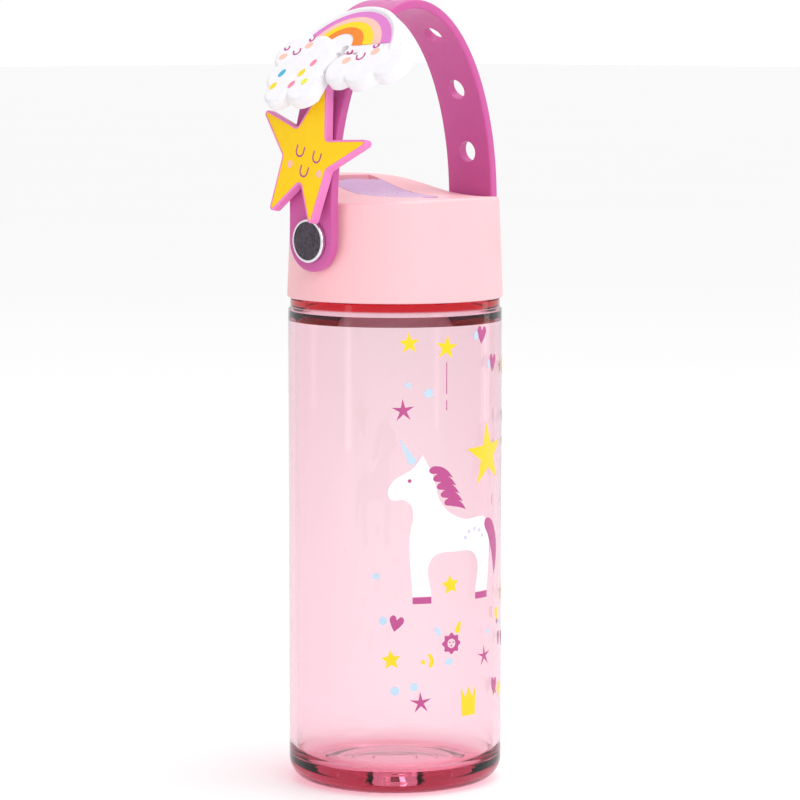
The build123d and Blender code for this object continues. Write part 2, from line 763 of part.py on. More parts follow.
with BuildPart() as cloud_faces:
    add(cloud_strokes)
save(cloud_faces, "cloud_faces")

with BuildPart() as cloud_cheeks:
    add(cloud_cheek_dots)
save(cloud_cheeks, "cloud_cheeks")

for colour, group in cloud_dots.items():
    with BuildPart() as dot_piece:
        add(group)
    save(dot_piece, f"cloud_dots_{colour}")
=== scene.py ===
import json
import math

import bpy
from bpy.props import FloatProperty, FloatVectorProperty, IntProperty, PointerProperty
from mathutils import Matrix, Vector


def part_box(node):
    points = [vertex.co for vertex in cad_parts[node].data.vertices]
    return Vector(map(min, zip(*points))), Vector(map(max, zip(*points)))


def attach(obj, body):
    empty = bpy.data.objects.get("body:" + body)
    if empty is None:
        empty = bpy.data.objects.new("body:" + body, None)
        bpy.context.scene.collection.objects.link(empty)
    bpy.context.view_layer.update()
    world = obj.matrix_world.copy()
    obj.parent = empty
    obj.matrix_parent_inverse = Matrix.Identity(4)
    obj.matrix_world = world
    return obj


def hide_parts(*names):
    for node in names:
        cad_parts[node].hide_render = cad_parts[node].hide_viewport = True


bl_info = {
    "name": "Kids' Water Bottle",
    "version": (1, 0, 0),
    "blender": (4, 5, 0),
    "location": "View3D > Sidebar > Bottle",
    "description": "Prints, charms and finishes for a clear children's bottle with a flip spout",
    "category": "Object",
}

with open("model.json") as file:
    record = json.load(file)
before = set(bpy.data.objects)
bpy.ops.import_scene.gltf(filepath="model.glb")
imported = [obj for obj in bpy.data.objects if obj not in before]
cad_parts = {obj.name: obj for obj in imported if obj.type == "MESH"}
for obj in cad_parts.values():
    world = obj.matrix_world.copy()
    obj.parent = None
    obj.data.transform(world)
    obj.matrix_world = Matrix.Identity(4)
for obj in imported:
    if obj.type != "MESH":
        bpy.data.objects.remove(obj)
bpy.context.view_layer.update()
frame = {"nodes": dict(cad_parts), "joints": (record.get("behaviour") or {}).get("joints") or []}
body_low, body_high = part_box("bottle_body")
lid_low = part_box("lid_shell")[0]

MM = 0.001
BODY_RADIUS = body_high.x / MM
COLLAR_TOP = lid_low.z
COLLAR_HEIGHT = 2.9 * MM
HALF_STRAP = 1.5 * MM
PIVOT_Z = sum(corner.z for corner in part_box("rivet_disc_left")) / 2


def paint(red, green, blue):
    """A linear colour from the 0 to 255 values that paint charts give."""
    shares = [value / 255 for value in (red, green, blue)]
    return tuple(s / 12.92 if s <= 0.04045 else ((s + 0.055) / 1.055) ** 2.4 for s in shares)


# ------------------------------------------------------------------ settings in the sidebar
def colour_setting(name, description, default):
    return FloatVectorProperty(name=name, description=description, default=default,
                               subtype="COLOR", size=3, min=0.0, max=1.0)


def length_setting(name, description, default):
    return FloatProperty(name=name, description=description, default=default, unit="LENGTH",
                         subtype="DISTANCE", min=0.0)


class BottleFinishes(bpy.types.PropertyGroup):
    """Colours of the moulded and metal pieces."""
    lid: colour_setting("Lid", "Satin pink of the screw lid", paint(249, 190, 196))
    insert: colour_setting("Insert", "Threaded liner under the lid", paint(240, 190, 198))
    spout: colour_setting("Spout", "Lilac of the flip-up spout", paint(200, 150, 202))
    strap: colour_setting("Strap", "Orchid silicone of the carry strap", paint(200, 84, 156))
    star_edge: colour_setting("Star edge", "Border of the star charm", paint(238, 128, 196))
    sun: colour_setting("Yellow", "Yellow of the charms", paint(255, 208, 0))
    plum: colour_setting("Plum", "Drawn faces and dark print", paint(184, 72, 136))
    peach: colour_setting("Peach", "Cheeks and the second band", paint(250, 190, 176))
    orange: colour_setting("Orange", "Innermost rainbow band", paint(252, 128, 20))
    orchid: colour_setting("Orchid", "Outermost rainbow band", paint(214, 120, 196))
    cloud: colour_setting("Cloud", "White of the clouds", paint(234, 232, 236))
    sky: colour_setting("Blue", "Blue drops", paint(64, 172, 206))
    rose: colour_setting("Rose", "Pink drops", paint(236, 130, 160))
    lime: colour_setting("Lime", "Lime drops", paint(224, 226, 64))


class BottleClear(bpy.types.PropertyGroup):
    """The tinted clear plastic of the body."""
    wall_tint: colour_setting("Wall tint", "What the plastic lets through", (0.792, 0.128, 0.344))
    density: FloatProperty(name="Density", description="Strength of the tint per metre",
                           default=66.0, min=0.0)
    surface: colour_setting("Surface tint", "What each face lets through", (0.985, 0.93, 0.945))
    # Painted shade: a deep red for the ring under the lid, standing in for the shade in the gap
    # there and the deeper tint of the thick ring seen edge-on.
    collar_shade: colour_setting("Collar", "Deep tint of the ring under the lid", paint(214, 30, 44))
    ripple: length_setting("Ripple", "Height of the wall's slight waves", 0.00002)


class BottlePrint(bpy.types.PropertyGroup):
    """The pictures printed on the body."""
    film: length_setting("Film", "Thickness of one layer of ink", 0.00005)
    strip: length_setting("Strip", "Width of one flat strip of a wrapped picture", 0.0014)
    smoothness: IntProperty(name="Smoothness", description="Steps between two outline points",
                            default=5, min=1, max=12)
    coat: colour_setting("Coat", "Pony's white", paint(246, 240, 248))
    ice: colour_setting("Ice", "Pale blue ink", paint(186, 212, 234))
    lilac: colour_setting("Lilac", "Pale lilac ink", paint(206, 196, 228))


class BottleCharm(bpy.types.PropertyGroup):
    """The puffy clouds of the rainbow charm."""
    voxel: length_setting("Voxel", "Cell size that fuses the lobes", 0.00027)
    puff: length_setting("Puff", "Rounding of the clouds' top edge", 0.0013)
    border: length_setting("Border", "Half width of the rainbow's white rim", 0.0014)


class BottleStudio(bpy.types.PropertyGroup):
    """Camera and lights."""
    eye: FloatVectorProperty(name="Eye", description="Where the camera stands", size=3,
                             default=(-0.852, -0.852, 0.249), subtype="TRANSLATION")
    aim: FloatVectorProperty(name="Aim", description="The point it looks at", size=3,
                             default=(0.00115, -0.00115, 0.1253), subtype="TRANSLATION")
    lens: FloatProperty(name="Lens", description="Focal length", default=166.0, min=1.0,
                        unit="CAMERA")
    sky: FloatProperty(name="Sky", description="Strength of the even light all round",
                       default=0.55, min=0.0)
    surround: FloatProperty(name="Surround", description="Brightness of the white room",
                            default=1.02, min=0.0)
    ceiling: FloatProperty(name="Ceiling", description="Strength of the light from above",
                           default=1.4, min=0.0)
    floor: colour_setting("Floor", "Pale floor", (0.93, 0.93, 0.93))


# ------------------------------------------------------------------ material helpers
class Finish:
    """A material under construction: its tree, its shader and its object coordinates."""

    def __init__(self, name, colour, roughness):
        self.material = bpy.data.materials.new(name)
        self.material.use_nodes = True
        self.tree = self.material.node_tree
        self.shader = self.tree.nodes["Principled BSDF"]
        self.place = self.tree.nodes.new("ShaderNodeTexCoord").outputs["Object"]
        self.colour = (*colour, 1.0)
        self.set("Base Color", self.colour)
        self.set("Roughness", roughness)

    def set(self, socket, value):
        self.shader.inputs[socket].default_value = value

    def node(self, kind, **settings):
        made = self.tree.nodes.new(kind)
        for key, value in settings.items():
            setattr(made, key, value)
        return made

    def join(self, source, target):
        self.tree.links.new(source, target)

    def noise(self, size, detail=3.0, stretch=(1, 1, 1)):
        """A noise whose blotches are about size metres across."""
        spread = self.node("ShaderNodeMapping")
        spread.inputs["Scale"].default_value = stretch
        self.join(self.place, spread.inputs["Vector"])
        texture = self.node("ShaderNodeTexNoise")
        texture.inputs["Scale"].default_value = 1 / size
        texture.inputs["Detail"].default_value = detail
        self.join(spread.outputs["Vector"], texture.inputs["Vector"])
        return texture.outputs["Fac"]

    def spread(self, fac, low, high):
        """fac stretched to run from low to high."""
        ramp = self.node("ShaderNodeMapRange")
        ramp.inputs["From Min"].default_value = 0.3
        ramp.inputs["From Max"].default_value = 0.7
        ramp.inputs["To Min"].default_value = low
        ramp.inputs["To Max"].default_value = high
        self.join(fac, ramp.inputs["Value"])
        return ramp.outputs["Result"]

    def mottle(self, fac, other, share):
        """Colour that drifts towards other by up to share."""
        mix = self.node("ShaderNodeMix", data_type="RGBA")
        mix.inputs["A"].default_value = self.colour
        mix.inputs["B"].default_value = (*other, 1.0)
        self.join(self.spread(fac, 0.0, share), mix.inputs["Factor"])
        self.join(mix.outputs["Result"], self.shader.inputs["Base Color"])
        return mix

    def vary_roughness(self, fac, low, high):
        self.join(self.spread(fac, low, high), self.shader.inputs["Roughness"])

    def bump(self, fac, height, strength=1.0, under=None):
        """Relief of that height in metres, over another relief if one is given."""
        relief = self.node("ShaderNodeBump")
        relief.inputs["Distance"].default_value = height
        relief.inputs["Strength"].default_value = strength
        self.join(fac, relief.inputs["Height"])
        if under is not None:
            self.join(under, relief.inputs["Normal"])
        self.join(relief.outputs["Normal"], self.shader.inputs["Normal"])
        return relief.outputs["Normal"]


def shaded(colour, factor):
    return tuple(channel * factor for channel in colour)


def moulded(name, colour, roughness, grain=0.00035, relief=0.000008):
    """Satin moulded plastic: a fine spark-eroded grain, faint flow and rubbed patches."""
    finish = Finish(name, colour, roughness)
    finish.mottle(finish.noise(0.018, 2.0), shaded(colour, 0.9), 0.3)
    finish.vary_roughness(finish.noise(0.006, 4.0), roughness - 0.05, roughness + 0.07)
    finish.bump(finish.noise(grain, 2.0), relief)
    finish.set("Subsurface Weight", 0.12)
    finish.set("Subsurface Radius", (0.6, 0.25, 0.25))
    finish.set("Subsurface Scale", 0.002)
    return finish.material


def silicone(name, colour, roughness=0.46):
    """Soft rubber: a dusty sheen, a matt skin and fine specks that cling to it."""
    finish = Finish(name, colour, roughness)
    finish.mottle(finish.noise(0.009, 3.0), shaded(colour, 0.86), 0.35)
    finish.vary_roughness(finish.noise(0.003, 4.0), roughness - 0.06, roughness + 0.08)
    skin = finish.bump(finish.noise(0.00045, 3.0), 0.00001)
    finish.bump(finish.noise(0.012, 1.0), 0.00006, under=skin)
    finish.set("Sheen Weight", 0.25)
    finish.set("Sheen Roughness", 0.4)
    finish.set("Sheen Tint", (1.0, 0.85, 0.95, 1.0))
    finish.set("Subsurface Weight", 0.15)
    finish.set("Subsurface Radius", (0.8, 0.3, 0.4))
    finish.set("Subsurface Scale", 0.0015)
    return finish.material


def vinyl(name, colour, roughness=0.36):
    """Soft charm vinyl: poured colour with slight pooling and a waxy skin."""
    finish = Finish(name, colour, roughness)
    finish.mottle(finish.noise(0.004, 3.0), shaded(colour, 0.9), 0.45)
    finish.vary_roughness(finish.noise(0.0015, 4.0), roughness - 0.06, roughness + 0.08)
    finish.bump(finish.noise(0.0006, 3.0), 0.00002)
    finish.set("Specular IOR Level", 0.3)
    finish.set("Subsurface Weight", 0.1)
    finish.set("Subsurface Radius", (0.5, 0.4, 0.4))
    finish.set("Subsurface Scale", 0.001)
    return finish.material


def ink(name, colour):
    """Screen-printed ink: a slight weave of the mesh and thin spots."""
    finish = Finish(name, colour, 0.34)
    finish.mottle(finish.noise(0.0022, 4.0), shaded(colour, 0.88), 0.4)
    finish.vary_roughness(finish.noise(0.001, 3.0), 0.28, 0.42)
    weave = finish.node("ShaderNodeTexVoronoi", feature="F1")
    weave.inputs["Scale"].default_value = 1 / 0.0003
    finish.join(finish.place, weave.inputs["Vector"])
    finish.bump(weave.outputs["Distance"], 0.00001)
    return finish.material


def clear_body(settings):
    """Tinted clear plastic: the tint lies in the wall, so thick places are deeper in colour. A deep
    red band of painted shade rings the collar under the lid.
    """
    finish = Finish("clear_pink", settings.surface, 0.02)
    height = finish.node("ShaderNodeSeparateXYZ")
    finish.join(finish.place, height.inputs["Vector"])
    from_middle = finish.node("ShaderNodeMath", operation="SUBTRACT")
    from_middle.inputs[1].default_value = COLLAR_TOP - COLLAR_HEIGHT / 2
    finish.join(height.outputs["Z"], from_middle.inputs[0])
    distance = finish.node("ShaderNodeMath", operation="ABSOLUTE")
    finish.join(from_middle.outputs["Value"], distance.inputs[0])
    # Painted shade band round the ring under the lid: deep red for the gap's shade and the thick
    # ring seen edge-on, mixed into the base colour by height.
    collar_shade_band = finish.node("ShaderNodeMapRange", interpolation_type="SMOOTHSTEP")
    collar_shade_band.inputs["From Min"].default_value = COLLAR_HEIGHT / 2 + 0.0006
    collar_shade_band.inputs["From Max"].default_value = COLLAR_HEIGHT / 2 - 0.0003
    finish.join(distance.outputs["Value"], collar_shade_band.inputs["Value"])
    tint = finish.node("ShaderNodeMix", data_type="RGBA")
    tint.inputs["A"].default_value = finish.colour
    tint.inputs["B"].default_value = (*settings.collar_shade, 1.0)
    finish.join(collar_shade_band.outputs["Result"], tint.inputs["Factor"])
    finish.join(tint.outputs["Result"], finish.shader.inputs["Base Color"])
    finish.bump(finish.noise(0.016, 1.0, (1, 1, 0.35)), settings.ripple)
    finish.set("Transmission Weight", 1.0)
    finish.set("IOR", 1.36)
    lamp_ray = finish.node("ShaderNodeLightPath")
    through = finish.node("ShaderNodeBsdfTransparent")
    through.inputs["Color"].default_value = (1.0, 0.95, 0.96, 1.0)
    either = finish.node("ShaderNodeMixShader")
    finish.join(lamp_ray.outputs["Is Shadow Ray"], either.inputs["Fac"])
    finish.join(finish.shader.outputs["BSDF"], either.inputs[1])
    finish.join(through.outputs["BSDF"], either.inputs[2])
    absorb = finish.node("ShaderNodeVolumeAbsorption")
    absorb.inputs["Color"].default_value = (*settings.wall_tint, 1.0)
    absorb.inputs["Density"].default_value = settings.density
    output = finish.tree.nodes["Material Output"]
    finish.join(either.outputs["Shader"], output.inputs["Surface"])
    finish.join(absorb.outputs["Volume"], output.inputs["Volume"])
    return finish.material


def bright_metal(name, colour, roughness):
    """Polished plating with faint wiping marks."""
    finish = Finish(name, colour, roughness)
    finish.set("Metallic", 1.0)
    finish.vary_roughness(finish.noise(0.0012, 4.0), roughness * 0.7, roughness * 1.6)
    finish.bump(finish.noise(0.0005, 2.0), 0.000002)
    return finish.material


def spun_black():
    """Black metal turned on a lathe: rings round the rivet's axis, and streaked reflections."""
    finish = Finish("disc_black", paint(66, 58, 66), 0.26)
    finish.set("Metallic", 1.0)
    finish.set("Anisotropic", 0.85)
    around = finish.node("ShaderNodeTangent", direction_type="RADIAL", axis="X")
    finish.join(around.outputs["Tangent"], finish.shader.inputs["Tangent"])
    centre = finish.node("ShaderNodeMapping")
    centre.inputs["Location"].default_value = (0.0, 0.0, -PIVOT_Z)
    centre.inputs["Scale"].default_value = (0.0, 1.0, 1.0)
    finish.join(finish.place, centre.inputs["Vector"])
    radius = finish.node("ShaderNodeVectorMath", operation="LENGTH")
    finish.join(centre.outputs["Vector"], radius.inputs[0])
    rings = finish.node("ShaderNodeMath", operation="MULTIPLY")
    rings.inputs[1].default_value = 2 * math.pi / 0.00022
    finish.join(radius.outputs["Value"], rings.inputs[0])
    wave = finish.node("ShaderNodeMath", operation="SINE")
    finish.join(rings.outputs["Value"], wave.inputs[0])
    finish.bump(wave.outputs["Value"], 0.000004, 0.5)
    finish.mottle(finish.noise(0.0008, 3.0), paint(112, 104, 114), 0.5)
    return finish.material


def dress(material, *names):
    """Gives CAD nodes a finish."""
    for name in names:
        mesh = frame["nodes"][name].data
        if not mesh.materials:
            mesh.materials.append(material)
        for index in range(len(mesh.materials)):
            mesh.materials[index] = material


# ------------------------------------------------------------------ modelling helpers
def only(piece):
    """Selects one object and nothing else."""
    bpy.ops.object.select_all(action="DESELECT")
    piece.select_set(True)
    bpy.context.view_layer.objects.active = piece


def edit(piece):
    only(piece)
    bpy.ops.object.mode_set(mode="EDIT")
    bpy.ops.mesh.select_all(action="SELECT")


def leave():
    bpy.ops.object.mode_set(mode="OBJECT")


def apply_modifier(piece, kind, **settings):
    """Adds a modifier with these settings and applies it."""
    only(piece)
    modifier = piece.modifiers.new(kind.title(), kind)
    for key, value in settings.items():
        setattr(modifier, key, value)
    bpy.ops.object.modifier_apply(modifier=modifier.name)


def join_pieces(name, pieces):
    only(pieces[0])
    for piece in pieces:
        piece.select_set(True)
    if len(pieces) > 1:
        bpy.ops.object.join()
    pieces[0].name = name
    pieces[0].data.name = name
    return pieces[0]


def smooth(piece, degrees=35):
    only(piece)
    bpy.ops.object.shade_smooth_by_angle(angle=math.radians(degrees))


def hand_over(piece, material, body):
    """A finished piece gets its material and its body."""
    piece.data.materials.clear()
    piece.data.materials.append(material)
    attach(piece, body)


# ------------------------------------------------------------------ outlines for the print
# An outline is a list of points on the unrolled wall, in millimetres: across from the
# front's middle, height over the base, and whether the corner is sharp.
def round_points(*points):
    return [(u, z, False) for u, z in points]


def sharp_points(*points):
    return [(u, z, True) for u, z in points]


def star(u, z, radius, turn=0.0, waist=0.42):
    points = []
    for corner in range(10):
        reach = radius * (waist if corner % 2 else 1.0)
        angle = math.radians(90 + turn + 36 * corner)
        points.append((u + reach * math.cos(angle), z + reach * math.sin(angle), True))
    return points


def oval(u, z, half_width, half_height=None, turn=0.0):
    half_height = half_height or half_width
    lean = math.radians(turn)
    points = []
    for step in range(6):
        angle = math.radians(60 * step)
        across, up = half_width * math.cos(angle), half_height * math.sin(angle)
        points.append((u + across * math.cos(lean) - up * math.sin(lean),
                       z + across * math.sin(lean) + up * math.cos(lean), False))
    return points


def heart(u, z, width, height, turn=0.0):
    lean = math.radians(turn)
    shape = [(0.0, -0.5, True), (0.36, -0.08, False), (0.5, 0.26, False), (0.28, 0.47, False),
             (0.0, 0.22, True), (-0.28, 0.47, False), (-0.5, 0.26, False),
             (-0.36, -0.08, False)]
    points = []
    for across, up, sharp in shape:
        x, y = across * width, up * height
        points.append((u + x * math.cos(lean) - y * math.sin(lean),
                       z + x * math.sin(lean) + y * math.cos(lean), sharp))
    return points


def flower(u, z, radius, petals=8):
    points = []
    for step in range(2 * petals):
        reach = radius * (0.8 if step % 2 else 1.0)
        angle = math.pi * step / petals
        points.append((u + reach * math.cos(angle), z + reach * math.sin(angle), False))
    return points


def strand(root, tip, width, bow):
    """A lock of hair: it bows to one side and thins out to a sharp tip."""
    run = Vector(tip) - Vector(root)
    side = Vector((-run.y, run.x)).normalized()
    middle = {share: Vector(root) + run * share
              + side * bow * run.length * math.sin(math.pi * share) for share in (0.3, 0.65)}
    half = {0.3: width * 0.5, 0.65: width * 0.36}
    upper = [middle[share] + side * half[share] for share in (0.3, 0.65)]
    lower = [middle[share] - side * half[share] for share in (0.65, 0.3)]
    start = [Vector(root) - side * width * 0.25, Vector(root) + side * width * 0.25]
    return (round_points(*start, *upper) + sharp_points(tuple(tip)) + round_points(*lower))


def crown(u, z, width, height):
    half, valley = width / 2, 0.62 * height
    return sharp_points((u - 0.84 * half, z), (u + 0.84 * half, z), (u + half, z + height),
                        (u + 0.45 * half, z + valley), (u, z + height),
                        (u - 0.45 * half, z + valley), (u - half, z + height))


def block(left, low, right, high):
    return sharp_points((left, low), (right, low), (right, high), (left, high))


# A toy pony built from proportions, in shares of its height: two stout legs, a straight back
# and a blunt head.  Its place and height are in millimetres on the unrolled wall.
PONY_PLACE = (-7.0, 63.0)
PONY_HEIGHT = 48.0
PONY_LEG = (0.18, 0.31)
PONY_HOOF = 0.05
PONY_BACK = 0.56
MANE_LOCKS = 5
RUMP_STARS = 5


def pony_point(x, y):
    """From shares of the pony's height to the wall."""
    return PONY_PLACE[0] + x * PONY_HEIGHT, PONY_PLACE[1] + y * PONY_HEIGHT


def pony_coat():
    inner, outer = PONY_LEG
    belly, chest = 0.34, 0.45
    underside = [pony_point(-inner, belly - 0.04), pony_point(0, belly),
                 pony_point(inner, belly - 0.04)]
    topline = [pony_point(outer + 0.03, 0.35), pony_point(outer, PONY_BACK - 0.03),
               pony_point(0.05, PONY_BACK), pony_point(-0.1, PONY_BACK + 0.1),
               pony_point(-0.17, 0.86)]
    head = [pony_point(-0.3, 0.92), pony_point(-0.46, 0.8), pony_point(-0.46, 0.71),
            pony_point(-0.36, 0.7), pony_point(-outer, 0.64), pony_point(-outer - 0.02, chest)]
    return (sharp_points(pony_point(-outer, PONY_HOOF), pony_point(-inner, PONY_HOOF))
            + round_points(*underside)
            + sharp_points(pony_point(inner, PONY_HOOF), pony_point(outer, PONY_HOOF))
            + round_points(*topline) + sharp_points(pony_point(-0.24, 1.0))
            + round_points(*head))


def pony_hooves():
    inner, outer = PONY_LEG
    return [block(*pony_point(low, 0), *pony_point(high, PONY_HOOF - 0.005))
            for low, high in ((-outer, -inner), (inner, outer))]


def pony_mane():
    """Equal locks from the neck's crest, and the tail."""
    locks = []
    for step in range(MANE_LOCKS):
        share = step / (MANE_LOCKS - 1)
        x, y = -0.19 + 0.11 * share, 0.9 - 0.22 * share
        locks.append(strand(pony_point(x, y), pony_point(x + 0.17, y - 0.06), 2.6, 0.1))
    tail = strand(pony_point(0.31, 0.53), pony_point(0.42, 0.14), 5.0, 0.12)
    return [[lock] for lock in locks] + [[tail]]


def rump_stars():
    """Small stars on an even arc over the rump."""
    stars = []
    for step in range(RUMP_STARS):
        angle = math.radians(20 + 35 * step)
        stars.append(star(*pony_point(0.17 + 0.09 * math.cos(angle), 0.4 + 0.08 * math.sin(angle)),
                          0.9, 0, 0.5))
    return stars


# ------------------------------------------------------------------ wrapping the print
def flat_shape(outlines, steps):
    """One filled curve for outlines that don't touch, made a mesh: x across, y up, in mm."""
    bpy.ops.object.select_all(action="DESELECT")
    bpy.ops.curve.primitive_bezier_circle_add(radius=1.0, location=(0, 0, 0))
    piece = bpy.context.object
    curve = piece.data
    curve.dimensions = "2D"
    curve.fill_mode = "BOTH"
    curve.resolution_u = steps
    curve.splines.clear()
    for outline in outlines:
        spline = curve.splines.new("BEZIER")
        spline.bezier_points.add(len(outline) - 1)
        for point, (u, z, sharp) in zip(spline.bezier_points, outline):
            point.co = (u, z, 0)
            point.handle_left_type = "VECTOR" if sharp else "AUTO"
            point.handle_right_type = "VECTOR" if sharp else "AUTO"
        spline.use_cyclic_u = True
    only(piece)
    bpy.ops.object.convert(target="MESH")
    return bpy.context.object


def cut_into_strips(piece, width):
    """Upright cuts, so that the flat picture can bend round the wall."""
    edit(piece)
    bpy.ops.mesh.remove_doubles(threshold=0.001)
    leave()
    across = [vertex.co.x for vertex in piece.data.vertices]
    first = math.ceil(min(across) / width)
    last = math.floor(max(across) / width)
    edit(piece)
    for cut in range(first, last + 1):
        bpy.ops.mesh.select_all(action="SELECT")
        bpy.ops.mesh.bisect(plane_co=(cut * width, 0, 0), plane_no=(1, 0, 0), threshold=0.0001)
    leave()


def wrap(piece, radius):
    """Rolls the flat picture round the body, at that radius in millimetres."""
    for vertex in piece.data.vertices:
        angle = vertex.co.x / BODY_RADIUS
        height = vertex.co.y
        vertex.co = Vector((radius * math.sin(angle), -radius * math.cos(angle), height)) * MM


def print_picture(name, groups, material, layer=0):
    """Ink on the body: groups of outlines that don't touch one another, as one closed film."""
    settings = bpy.context.scene.bottle_print
    film = settings.film / MM
    lift = 0.01 + layer * 1.2 * film
    parts = []
    for outlines in groups:
        part = flat_shape(outlines, settings.smoothness)
        cut_into_strips(part, settings.strip / MM)
        parts.append(part)
    piece = join_pieces(name, parts)
    wrap(piece, BODY_RADIUS + lift)
    apply_modifier(piece, "SOLIDIFY", thickness=settings.film, offset=1.0)
    smooth(piece, 30)
    hand_over(piece, material, "bottle")
    return piece


# ------------------------------------------------------------------ operators
class BOTTLE_OT_dress_body(bpy.types.Operator):
    """Gives the bottle its clear tinted plastic"""
    bl_idname = "bottle.dress_body"
    bl_label = "Clear Body"

    def execute(self, context):
        dress(clear_body(context.scene.bottle_clear), "bottle_body")
        return {"FINISHED"}


class BOTTLE_OT_dress_lid(bpy.types.Operator):
    """Gives the screw lid, its liner and its seals their plastics and rubbers"""
    bl_idname = "bottle.dress_lid"
    bl_label = "Lid"

    def execute(self, context):
        colours = context.scene.bottle_finishes
        dress(moulded("lid_pink", colours.lid, 0.42), "lid_shell")
        dress(moulded("insert_pink", colours.insert, 0.3), "thread_insert")
        dress(silicone("clear_silicone", paint(232, 232, 236)), "lid_gasket", "vent_valve",
              "spout_seal", "spout_nozzle")
        return {"FINISHED"}


class BOTTLE_OT_dress_spout(bpy.types.Operator):
    """Gives the flip-up spout and its pins their finishes"""
    bl_idname = "bottle.dress_spout"
    bl_label = "Spout"

    def execute(self, context):
        dress(moulded("spout_lilac", context.scene.bottle_finishes.spout, 0.3), "flip_spout")
        dress(bright_metal("pin_steel", paint(200, 202, 206), 0.25), "spout_pins")
        return {"FINISHED"}


class BOTTLE_OT_dress_strap(bpy.types.Operator):
    """Gives the carry strap its silicone and the rivets their metals"""
    bl_idname = "bottle.dress_strap"
    bl_label = "Strap and Rivets"

    def execute(self, context):
        dress(silicone("strap_orchid", context.scene.bottle_finishes.strap), "carry_strap")
        dress(moulded("bush_white", paint(236, 234, 236), 0.35), "strap_bush_left",
              "strap_bush_right")
        dress(bright_metal("rivet_chrome", paint(226, 226, 230), 0.1), "rivet_post_left",
              "rivet_post_right", "rivet_bezel_left", "rivet_bezel_right")
        dress(spun_black(), "rivet_disc_left", "rivet_disc_right")
        return {"FINISHED"}


class BOTTLE_OT_dress_charms(bpy.types.Operator):
    """Gives the star charm and the rainbow's inlays their vinyls"""
    bl_idname = "bottle.dress_charms"
    bl_label = "Charm Colours"

    def execute(self, context):
        colours = context.scene.bottle_finishes
        dress(silicone("charm_edge", colours.star_edge, 0.42), "star_base")
        dress(vinyl("charm_yellow", colours.sun), "star_inlay", "band_yellow",
              "cloud_dots_yellow")
        dress(vinyl("charm_plum", colours.plum), "star_face", "cloud_faces")
        dress(vinyl("charm_peach", colours.peach), "star_cheeks", "cloud_cheeks", "band_peach")
        dress(vinyl("charm_orchid", colours.orchid), "band_orchid")
        dress(vinyl("charm_orange", colours.orange), "band_orange")
        dress(vinyl("charm_blue", colours.sky), "cloud_dots_blue")
        dress(vinyl("charm_rose", colours.rose), "cloud_dots_pink")
        dress(vinyl("charm_lime", colours.lime), "cloud_dots_lime")
        return {"FINISHED"}


# ------------------------------------------------------------------ rainbow charm
# Places on the charm, in millimetres from the strap's hole: across, up the strap, and out
# from the strap's outer face.
CHARM_GAP = 1.3
PLATE = 3.2
CLOUD_RISE = 1.2
INLAY_SINK = 0.12
ARC = (8.1, -16.9, 20.5)
RIM_LOW = -14.0
LOBES = [(-12.3, -15.2, 7.2), (-9.5, -24.5, 7.0), (-7.2, -31.5, 5.6), (3.0, -29.0, 7.0),
         (0.0, -19.0, 7.6), (-3.5, -13.5, 6.0), (14.3, -21.5, 6.3), (24.0, -20.0, 8.3),
         (33.6, -18.5, 6.6)]
SLIT = [(8.3, -12.2), (9.7, -12.2), (8.1, -20.8), (9.9, -25.2), (12.4, -31.0), (9.6, -38.0),
        (8.1, -25.2), (7.3, -20.8)]
NOTCH = (8.8, -12.4, 1.5)
STUD = (3.45, 5.0, 3.8, 1.6)


def charm_matrix(joint_name):
    """From charm places in metres to the model: the hole's outer face and the strap's lie."""
    joint = next(j for j in frame["joints"] if j["name"] == joint_name)
    out = Vector(joint["axis"]).normalized()
    across = Vector((0, -1, 0))
    up = out.cross(across)
    turn = Matrix((across, up, out)).transposed().to_4x4()
    return Matrix.Translation(Vector(joint["pos_m"]) + out * HALF_STRAP) @ turn


def puck(u, v, radius, low, high, rounding, sides=56):
    """A disc with a rounded top edge, in charm places."""
    bpy.ops.object.select_all(action="DESELECT")
    bpy.ops.mesh.primitive_cylinder_add(vertices=sides, radius=radius * MM,
                                        depth=(high - low) * MM,
                                        location=(u * MM, v * MM, (low + high) / 2 * MM))
    piece = bpy.context.object
    bpy.ops.object.transform_apply(location=True, rotation=True, scale=True)
    top = high * MM - 1e-6
    bpy.ops.object.mode_set(mode="EDIT")
    bpy.ops.mesh.select_mode(type="EDGE")
    bpy.ops.mesh.select_all(action="DESELECT")
    leave()
    for edge in piece.data.edges:
        ends = [piece.data.vertices[index].co.z for index in edge.vertices]
        edge.select = min(ends) > top
    bpy.ops.object.mode_set(mode="EDIT")
    bpy.ops.mesh.bevel(offset=rounding, segments=5, profile=0.5)
    bpy.ops.mesh.select_mode(type="VERT")
    leave()
    return piece


def keep_above(piece, v):
    """Cuts off what lies below v and closes the cut."""
    edit(piece)
    bpy.ops.mesh.bisect(plane_co=(0, v * MM, 0), plane_no=(0, 1, 0), use_fill=True,
                        clear_inner=True)
    leave()


def prism(points, low, high):
    """An upright block on a polygon, in charm places."""
    bpy.ops.object.select_all(action="DESELECT")
    bpy.ops.mesh.primitive_circle_add(vertices=len(points), radius=MM, fill_type="NGON")
    piece = bpy.context.object
    for vertex, (u, v) in zip(piece.data.vertices, points):
        vertex.co = (u * MM, v * MM, low * MM)
    edit(piece)
    bpy.ops.mesh.extrude_region_move(TRANSFORM_OT_translate={"value": (0, 0, (high - low) * MM)})
    bpy.ops.mesh.select_all(action="SELECT")
    bpy.ops.mesh.normals_make_consistent(inside=False)
    leave()
    return piece


def carve(piece, cutter):
    apply_modifier(piece, "BOOLEAN", object=cutter, operation="DIFFERENCE", solver="EXACT")
    bpy.data.objects.remove(cutter)


